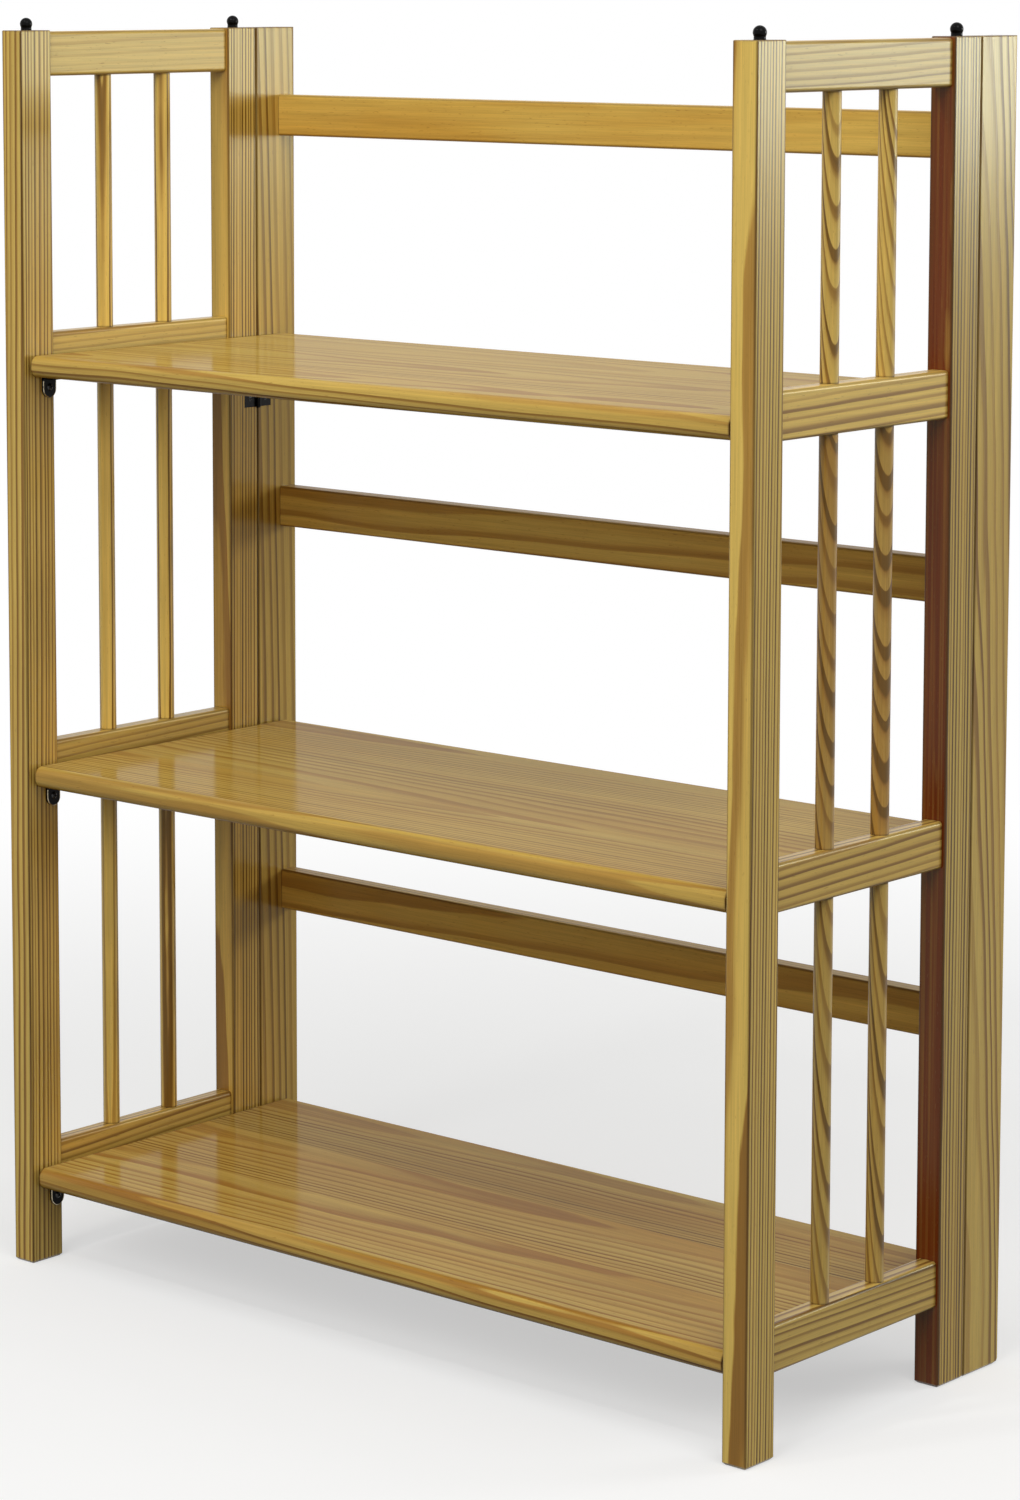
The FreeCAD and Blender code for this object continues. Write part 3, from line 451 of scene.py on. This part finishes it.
# the lightness factors here and below are partly painted light and shade: raised on the right upper rail and on the
# dowels for the sheen and highlights on them, lowered on the shelves for the shade on them
leftDowels = {"Pith across": 20 * mm, "Pith deep": 14 * mm, "Lean": 0.004, "Contrast": 1.3, "Bright": 1.25}
boards = {
    "upright": {
        "left_front_post": {"Seed": 3.1, "Pith across": 62 * mm, "Pith deep": 72 * mm, "Ring width": 3.0 * mm,
                            "Contrast": 1.2, "Tone": 0.8, "Bright": 1.04},
        "left_rear_post": {"Seed": 8.4, "Pith across": -8 * mm, "Pith deep": 80 * mm, "Ring width": 3.2 * mm,
                           "Contrast": 1.25, "Tone": 0.7, "Bright": 1.1},
        "right_front_post": {"Seed": 5.7, "Pith across": 12 * mm, "Pith deep": 110 * mm, "Ring width": 3.2 * mm,
                             "Wander": 4 * mm, "Contrast": 1.5, "Tone": 0.1, "Flat cut": 0.5, "Bright": 1.1},
        # right rear post: the deep red-brown heartwood along its front face is partly its own, partly painted shade for
        # the shade on that face
        "right_rear_post": {"Seed": 12.9, "Pith deep": -85 * mm, "Ring width": 3.4 * mm, "Lean": 0.001, "Contrast": 1.5,
                            "Heart radius": 74 * mm, "Heart tint": 0.98},
        "left_back_stile": {"Seed": 21.3, "Pith across": 40 * mm, "Pith deep": -50 * mm, "Ring width": 7 * mm,
                            "Lean": 0.02, "Wander": 6 * mm, "Bright": 0.97},
        "right_back_stile": {"Seed": 28.3, "Pith across": -60 * mm, "Pith deep": -40 * mm, "Ring width": 5.0 * mm,
                             "Wander": 14 * mm, "Lean": 0.03, "Flat cut": 0.5, "Bright": 0.95},
    },
    "sideRail": {
        "left_top_rail": {"Seed": 31.0, "Contrast": 0.35, "Tone": 0.2},
        "left_upper_rail": {"Seed": 33.5, "Contrast": 0.7, "Tone": 0.1},
        "left_middle_rail": {"Seed": 36.2, "Tone": 0.8},
        "left_bottom_rail": {"Seed": 38.8, "Tone": 0.9},
        "right_top_rail": {"Seed": 41.1, "Contrast": 0.7, "Wander": 8 * mm, "Tone": 0.1},
        "right_upper_rail": {"Seed": 44.6, "Ring width": 4.8 * mm, "Tone": 0.1, "Bright": 1.2},
        "right_middle_rail": {"Seed": 47.3, "Ring width": 4.8 * mm, "Tone": 0.3},
        "right_bottom_rail": {"Seed": 49.9, "Pith across": -45 * mm, "Tone": 0.4},
    },
    "backRail": {
        "top_back_rail": {"Seed": 52.0, "Contrast": 0.25, "Tone": 1.0},
        "middle_back_rail": {"Seed": 55.4, "Contrast": 0.9, "Ring width": 6 * mm, "Tone": 1.0, "Heart radius": 1.0,
                             "Heart tint": 0.12},
        "bottom_back_rail": {"Seed": 58.1, "Contrast": 0.8, "Ring width": 6 * mm, "Tone": 0.9, "Heart radius": 1.0,
                             "Heart tint": 0.05, "Bright": 1.1},
    },
    # the bottom shelf is darkest: its lower factor and its extra honey and heartwood are partly painted shade from the
    # shelves above it
    "shelf": {
        "top_shelf": {"Seed": 61.7, "Contrast": 0.75, "Tone": 0.4, "Bright": 0.94},
        "middle_shelf": {"Seed": 64.2, "Spread": 110 * mm, "Contrast": 0.75, "Tone": 0.6, "Heart radius": 1.0,
                         "Heart tint": 0.03, "Bright": 0.94},
        "bottom_shelf": {"Seed": 114.9, "Spread": 110 * mm, "Contrast": 1.05, "Tone": 0.9, "Heart radius": 1.0,
                         "Heart tint": 0.14, "Bright": 0.91},
    },
    "dowel": {
        "left_top_bay_spindles": {**leftDowels, "Seed": 71.0, "Tone": 0.0},
        "left_middle_bay_spindles": {**leftDowels, "Seed": 72.6, "Tone": 0.2},
        "left_bottom_bay_spindles": {**leftDowels, "Seed": 73.1, "Tone": 0.4},
        "right_top_bay_spindles": {"Seed": 74.4, "Lean": 0.09, "Contrast": 1.2, "Tone": 0.0, "Heart radius": 1.0,
                                   "Heart tint": 0.1, "Bright": 1.25},
        "right_middle_bay_spindles": {"Seed": 75.9, "Lean": 0.09, "Contrast": 1.4, "Tone": 1.0, "Heart radius": 1.0,
                                      "Heart tint": 0.4, "Bright": 1.12},
        "right_bottom_bay_spindles": {"Seed": 76.3, "Lean": 0.07, "Contrast": 1.1, "Heart radius": 1.0,
                                      "Heart tint": 0.16},
    },
}

# length that is hidden in a joint at each end, and the boards whose corners are square enough to show dark
inJoint = {"upright": 0.0, "sideRail": 10 * mm, "backRail": 10 * mm, "shelf": 0.0, "dowel": 10 * mm}
darkCorners = ("upright", "sideRail", "backRail")
dowelRadius = 6.35 * mm       # staves are counted from the middle of the front dowel


def dressNode(name, material):
    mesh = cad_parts[name].data
    mesh.materials.clear()
    mesh.materials.append(material)


def dressWood():
    grain = pineGrain()
    for lie, family in boards.items():
        for name, board in family.items():
            low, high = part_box(name)
            centre = (low + high) / 2
            if lie == "dowel":
                centre.y = low.y + dowelRadius
            across, deep, along = (abs(size) / 2 for size in Matrix(lies[lie]) @ (high - low))
            numbers = {**common[lie], "Half length": along - inJoint[lie], **board}
            if lie in darkCorners:
                numbers.update({"Half across": across, "Half deep": deep})
            dressNode(name, lacqueredPine(name + "_pine", grain, lie, centre, numbers))


# hardware: two colours and two roughnesses that change over in a fine noise; the cuts say where in the noise, the
# grain how large its patches are, often coarser than real ones, which would not show
finishes = {
    # stamped steel in black stove enamel: even and deep, slightly uneven gloss from the dip
    "blackEnamelledSteel": {
        "colours": ("#0B0A0A", "#1C1917"), "colourCut": (0.55, 0.8),
        "roughness": (0.24, 0.38), "roughnessCut": (0.0, 1.0),
        "grain": (0.5 * mm, 0.5 * mm, 0.5 * mm), "detail": 3.0, "relief": 0.2,
        "surface": {"IOR": 1.5, "Specular IOR Level": 0.08},
    },
    # screw heads of blackened steel, tumbled: two near-black tones in a fine noise, glossier than the plates, so they
    # catch the lights
    "blackenedScrewHeads": {
        "colours": ("#0B0A0A", "#2A2724"), "colourCut": (0.0, 1.0),
        "roughness": (0.14, 0.24), "roughnessCut": (0.0, 1.0),
        "grain": (0.5 * mm, 0.5 * mm, 0.5 * mm), "detail": 2.0, "relief": 0.0,
        "surface": {"Metallic": 0.3, "IOR": 1.5, "Specular IOR Level": 0.5},
    },
    # the stamped plates' edges: bright steel in a line that breaks up here and there, partly enamel run thin, partly a
    # painted highlight along the rims
    "paintedHighlightAndWornEdges": {
        "colours": ("#0B0A0A", "#B9AD94"), "colourCut": (0.3, 0.45),
        "roughness": (0.3, 0.2), "roughnessCut": (0.3, 0.45),
        "grain": (4 * mm, 4 * mm, 4 * mm), "detail": 2.0, "relief": 0.0,
        "surface": {"Metallic": 1.0},
    },
    # plain pin stock: grey, with drawing lines along the pin
    "drawnSteelPins": {
        "colours": ("#6E6C69", "#9A9A98"), "colourCut": (0.0, 1.0),
        "roughness": (0.24, 0.42), "roughnessCut": (0.0, 1.0),
        "grain": (5 * mm, 0.15 * mm, 0.15 * mm), "detail": 2.0, "relief": 0.0,
        "surface": {"Metallic": 1.0},
    },
    # hard glossy nylon: near black, with a faint unevenness from the mould
    "blackMouldedPlastic": {
        "colours": ("#020202", "#070707"), "colourCut": (0.0, 1.0),
        "roughness": (0.08, 0.14), "roughnessCut": (0.0, 1.0),
        "grain": (0.8 * mm, 0.8 * mm, 0.8 * mm), "detail": 2.0, "relief": 0.1,
        "surface": {"IOR": 1.5, "Specular IOR Level": 0.10},
    },
}
reliefHeight = 0.02 * mm


def makeFinish(name):
    finish = finishes[name]
    made = bpy.data.materials.new(name)
    made.use_nodes = True
    tree = made.node_tree
    tree.nodes.clear()
    add = partial(addNode, tree)
    spot = add("ShaderNodeTexCoord", output="Object")
    spot = add("ShaderNodeMapping", {"Vector": spot, "Scale": [1 / size for size in finish["grain"]]})
    patch = add("ShaderNodeTexNoise", {"Vector": spot, "Scale": 1.0, "Detail": finish["detail"]})
    low, high = finish["colourCut"]
    share = add("ShaderNodeMapRange", {"Value": patch, "From Min": low, "From Max": high})
    first, second = finish["colours"]
    colour = add("ShaderNodeMix", {0: share, 6: linear(first), 7: linear(second)}, output=2, data_type="RGBA")
    low, high = finish["roughnessCut"]
    first, second = finish["roughness"]
    rough = add("ShaderNodeMapRange", {"Value": patch, "From Min": low, "From Max": high, "To Min": first,
                                       "To Max": second})
    surface = {"Base Color": colour, "Roughness": rough, **finish["surface"]}
    if finish["relief"]:
        surface["Normal"] = add("ShaderNodeBump", {"Height": patch, "Strength": finish["relief"],
                                                   "Distance": reliefHeight})
    add("ShaderNodeOutputMaterial", {"Surface": add("ShaderNodeBsdfPrincipled", surface)}, output=None)
    return made


def dressHardware():
    steel, pins = makeFinish("blackEnamelledSteel"), makeFinish("drawnSteelPins")
    for side in ("left", "right"):
        for part in ("stile_hinge_leaves", "post_hinge_leaves", "hinge_pins", "shelf_rests"):
            dressNode(side + "_" + part, steel)
        dressNode(side + "_shelf_pivot_pins", pins)


def finishPiece(name, mesh, body):
    mesh.name = name
    mesh.shade_smooth()
    mesh.set_sharp_from_angle(angle=crisp)
    piece = addObject(name, mesh)
    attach(piece, body)
    return piece


# the stacking pins' ball heads, each on a short neck and a shank that is driven into the post
stackingPin = {
    "ball": 4.6 * mm,
    "neck": 4.0 * mm,
    "shank": 3.8 * mm,
    "drivenIn": 20 * mm,
    "foot": (0.3 * mm, 0.5 * mm),      # the little foot of the neck: how far out and how high
    "facets": 40,
    "steps": 14,                       # rings of the ball
}


def turnPins(side, finish):
    # one profile spun round both pins of a side; from the shank's end to the crown
    low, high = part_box(side + "_stacking_pins")
    ball, neck, shank, facets, steps = (stackingPin[key] for key in ("ball", "neck", "shank", "facets", "steps"))
    out, up = stackingPin["foot"]
    ledge = low.z + stackingPin["drivenIn"]
    middle = high.z - ball
    start = -math.acos(neck / ball)
    profile = [(shank, low.z), (shank, ledge), (neck + out, ledge), (neck, ledge + up)]
    for step in range(steps):
        angle = start + (math.pi / 2 - start) * step / steps
        profile.append((ball * math.cos(angle), middle + ball * math.sin(angle)))
    turns = [2 * math.pi * k / facets for k in range(facets)]
    made = bmesh.new()
    x = (low.x + high.x) / 2
    for y in (low.y + ball, high.y - ball):
        rings = [[made.verts.new((x + radius * math.cos(a), y + radius * math.sin(a), z)) for a in turns]
                 for radius, z in profile]
        end, crown = made.verts.new((x, y, low.z)), made.verts.new((x, y, high.z))
        for k in range(facets):
            after = (k + 1) % facets
            made.faces.new((end, rings[0][after], rings[0][k]))
            made.faces.new((crown, rings[-1][k], rings[-1][after]))
            for lower, upper in zip(rings, rings[1:]):
                made.faces.new((lower[k], lower[after], upper[after], upper[k]))
    mesh = bpy.data.meshes.new(side + "_ball_pins")
    made.to_mesh(mesh)
    made.free()
    mesh.materials.append(finish)
    piece = finishPiece(side + "_ball_pins", mesh, side + "_side_frame")
    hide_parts(side + "_stacking_pins")


def growthTree(name, numbers):
    # an empty tree that takes places, its numbers and a finish
    tree = bpy.data.node_groups.new(name, "GeometryNodeTree")
    tree.interface.new_socket("Places", in_out="INPUT", socket_type="NodeSocketGeometry")
    for key, value in numbers.items():
        kind = "NodeSocketInt" if isinstance(value, int) else "NodeSocketFloat"
        tree.interface.new_socket(key, in_out="INPUT", socket_type=kind).default_value = value
    tree.interface.new_socket("Finish", in_out="INPUT", socket_type="NodeSocketMaterial")
    tree.interface.new_socket("Grown", in_out="OUTPUT", socket_type="NodeSocketGeometry")
    return tree


def grow(name, tree, places, finish, body):
    # runs a tree on points or paths; one plain mesh comes out for each body
    carrier = addObject(name + "Places", places)
    grown = carrier.modifiers.new("grown", "NODES")
    grown.node_group = tree
    for socket in tree.interface.items_tree:
        if socket.in_out == "INPUT" and socket.name == "Finish":
            grown[socket.identifier] = finish
    shown = carrier.evaluated_get(bpy.context.evaluated_depsgraph_get())
    mesh = bpy.data.meshes.new_from_object(shown)
    bpy.data.objects.remove(carrier)
    finishPiece(name, mesh, body)


# the rests: their plates, and how far up the same thing comes again at the next shelf
shelfRest = {
    "plate": 2.0 * mm,
    "levels": (0.0, 310 * mm, 620 * mm),
}

# cross-recess screws in the black of the plates that they hold: round heads on the rests, low ones on the hinge leaves
screws = {
    "rest": {"radius": 2.9 * mm, "rise": 1.5 * mm, "crown": 2.2},     # crown: 2 is a ball's curve, more is flatter
    "leaf": {"radius": 2.4 * mm, "rise": 0.4 * mm, "crown": 3.0},
    "recess": {"length": 1.24, "width": 0.30, "depth": 0.75, "sunk": 0.2},   # parts of the radius; sunk: of the depth
    "vertices": 24,
    "rings": 5,
    "foot": 0.5 * mm,             # the head's straight part, half of it inside the plate
    "seed": 7,
    "restUp": 7.8 * mm,           # from the plate's lower end
    "leafPlate": 1.0 * mm,
    "leafIn": 6.3 * mm,           # from the leaf's outer edge
    "leafEnds": (7 * mm, 31 * mm),
}


def screwTree(kind):
    # a dome of rings with a cross cut into it, on every point, turned towards the point's facing
    size, recess, foot = screws[kind], screws["recess"], screws["foot"]
    tree = growthTree(kind + "Screws", {"Radius": size["radius"], "Rise": size["rise"], "Seed": screws["seed"]})
    add = partial(addNode, tree)
    given = add("NodeGroupInput", output=None).outputs

    # a short cylinder from under the plate to the rim, its upper points lifted into the dome
    body = add("GeometryNodeMeshCylinder", {
        "Vertices": screws["vertices"], "Side Segments": 1, "Fill Segments": screws["rings"],
        "Radius": given["Radius"], "Depth": foot}, fill_type="TRIANGLE_FAN")
    x, y, z = add("ShaderNodeSeparateXYZ", (add("GeometryNodeInputPosition"),), output=None).outputs
    out = add("ShaderNodeVectorMath", (add("ShaderNodeCombineXYZ", (x, y)),), output="Value", operation="LENGTH")
    out = add("ShaderNodeMath", (out, given["Radius"]), operation="DIVIDE")
    dome = add("ShaderNodeMath", (out, size["crown"]), operation="POWER")
    dome = add("ShaderNodeMath", (1.0, dome), operation="SUBTRACT")
    dome = add("ShaderNodeMath", (dome, 0.0), operation="MAXIMUM")
    dome = add("ShaderNodeMath", (dome,), operation="SQRT")
    lift = add("ShaderNodeMath", (dome, given["Rise"]), operation="MULTIPLY")
    upper = add("ShaderNodeMath", (z, 0.0), operation="GREATER_THAN")
    lift = add("ShaderNodeMath", (lift, upper), operation="MULTIPLY")
    body = add("GeometryNodeSetPosition", {"Geometry": body, "Offset": add("ShaderNodeCombineXYZ", {2: lift})})

    # the driver's cross: two bars, cut out of the head
    long, wide, deep = (add("ShaderNodeMath", (given["Radius"], recess[key]), operation="MULTIPLY")
                        for key in ("length", "width", "depth"))
    cross = add("GeometryNodeMeshBoolean", output=None, operation="UNION", solver="EXACT")
    for sides in ((long, wide, deep), (wide, long, deep)):
        bar = add("GeometryNodeMeshCube", {"Size": add("ShaderNodeCombineXYZ", sides)})
        tree.links.new(bar, cross.inputs[1])
    top = add("ShaderNodeMath", (deep, -recess["sunk"], given["Rise"]), operation="MULTIPLY_ADD")
    top = add("ShaderNodeMath", (top, foot / 2), operation="ADD")
    cross = add("GeometryNodeTransform", {"Geometry": cross.outputs[0],
                                          "Translation": add("ShaderNodeCombineXYZ", {2: top})})
    head = add("GeometryNodeMeshBoolean", (body, cross), operation="DIFFERENCE", solver="EXACT")

    facing = add("GeometryNodeInputNamedAttribute", {"Name": "facing"}, data_type="FLOAT_VECTOR")
    turn = add("FunctionNodeAlignRotationToVector", {"Vector": facing}, axis="Z")
    spin = add("FunctionNodeRandomValue", {2: 0.0, 3: math.pi, "Seed": given["Seed"]}, output=1)
    spin = add("FunctionNodeEulerToRotation", (add("ShaderNodeCombineXYZ", {2: spin}),))
    turn = add("FunctionNodeRotateRotation", (turn, spin), rotation_space="LOCAL")
    heads = add("GeometryNodeInstanceOnPoints", {"Points": given["Places"], "Instance": head, "Rotation": turn})
    heads = add("GeometryNodeRealizeInstances", {"Geometry": heads})
    heads = add("GeometryNodeSetMaterial", {"Geometry": heads, "Material": given["Finish"]})
    add("NodeGroupOutput", {"Grown": heads}, output=None)
    return tree


def driveScrews(name, tree, places, finish, body):
    # places: (point, facing) pairs
    points = bpy.data.meshes.new(name + "Places")
    points.from_pydata([point for point, facing in places], [], [])
    facings = points.attributes.new("facing", "FLOAT_VECTOR", "POINT")
    for row, (point, facing) in zip(facings.data, places):
        row.vector = facing
    grow(name, tree, points, finish, body)


def plateFace(node, inward, depth):
    # the box of a row of plates, and x at this depth from their outer face
    low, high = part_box(node)
    return low, high, (low.x if inward > 0 else high.x) + inward * depth


def placeScrews(finish):
    trees = {kind: screwTree(kind) for kind in ("rest", "leaf")}
    sunk = screws["foot"] / 2
    onBack = []
    for side, inward in (("left", 1), ("right", -1)):
        facing = (inward, 0, 0)
        low, high, x = plateFace(side + "_shelf_rests", inward, shelfRest["plate"] - sunk)
        y = (low.y + high.y) / 2
        onRests = [((x, y, low.z + screws["restUp"] + level), facing) for level in shelfRest["levels"]]
        driveScrews(side + "_rest_screws", trees["rest"], onRests, finish, side + "_side_frame")
        for carrier in ("post", "stile"):
            low, high, x = plateFace(side + "_" + carrier + "_hinge_leaves", inward, screws["leafPlate"] - sunk)
            y = low.y + screws["leafIn"] if carrier == "post" else high.y - screws["leafIn"]
            onLeaves = [((x, y, low.z + up + level), facing)
                        for level in shelfRest["levels"] for up in screws["leafEnds"]]
            if carrier == "post":
                driveScrews(side + "_post_leaf_screws", trees["leaf"], onLeaves, finish, side + "_side_frame")
            else:
                onBack += onLeaves
    driveScrews("stile_leaf_screws", trees["leaf"], onBack, finish, "back_frame")


# a fine bead of bare steel along the rim of each rest's plate, down its front, round its foot and up behind; it is
# partly worn enamel, partly a painted highlight along the rim
restEdges = {
    "bead": 0.4 * mm,
    "proud": 0.2 * mm,            # how far the bead stands out of the plate's corner
    "sides": 8,
    "footSteps": 16,
    "height": 12.5 * mm,          # from the plate's lower end
}


def edgeTree():
    # a round section swept along every path of edges
    tree = growthTree("restEdges", {"Bead": restEdges["bead"]})
    add = partial(addNode, tree)
    given = add("NodeGroupInput", output=None).outputs
    path = add("GeometryNodeMeshToCurve", {"Mesh": given["Places"]})
    section = add("GeometryNodeCurvePrimitiveCircle", {"Resolution": restEdges["sides"], "Radius": given["Bead"]})
    bead = add("GeometryNodeCurveToMesh", {"Curve": path, "Profile Curve": section, "Fill Caps": True})
    bead = add("GeometryNodeRealizeInstances", {"Geometry": bead})
    bead = add("GeometryNodeSetMaterial", {"Geometry": bead, "Material": given["Finish"]})
    add("NodeGroupOutput", {"Grown": bead}, output=None)
    return tree


def placeEdges(finish):
    tree = edgeTree()
    inset = restEdges["bead"] - restEdges["proud"]
    turns = [math.pi + math.pi * k / restEdges["footSteps"] for k in range(restEdges["footSteps"] + 1)]
    for side, inward in (("left", 1), ("right", -1)):
        low, high, x = plateFace(side + "_shelf_rests", inward, shelfRest["plate"] - inset)
        y = (low.y + high.y) / 2
        footRadius = (high.y - low.y) / 2
        reach = footRadius - inset
        points, edges = [], []
        for level in shelfRest["levels"]:
            first = len(points)
            bottom = low.z + level
            foot = [(x, y + reach * math.cos(a), bottom + footRadius + reach * math.sin(a)) for a in turns]
            top = bottom + restEdges["height"]
            points += [(x, y - reach, top), *foot, (x, y + reach, top)]
            edges += [(k, k + 1) for k in range(first, len(points) - 1)]
        paths = bpy.data.meshes.new(side + "RestPaths")
        paths.from_pydata(points, edges, [])
        grow(side + "_rest_edges", tree, paths, finish, side + "_side_frame")


makeCamera()
makeRoom()
placeLamps()
layFloor()
print("camera and studio made")
dressWood()
print("wood dressed")
dressHardware()
plastic = makeFinish("blackMouldedPlastic")
for side in ("left", "right"):
    turnPins(side, plastic)
print("hardware dressed")
placeScrews(makeFinish("blackenedScrewHeads"))
# the rests' rims: worn steel and a painted highlight
placeEdges(makeFinish("paintedHighlightAndWornEdges"))
print("screws and edges placed")
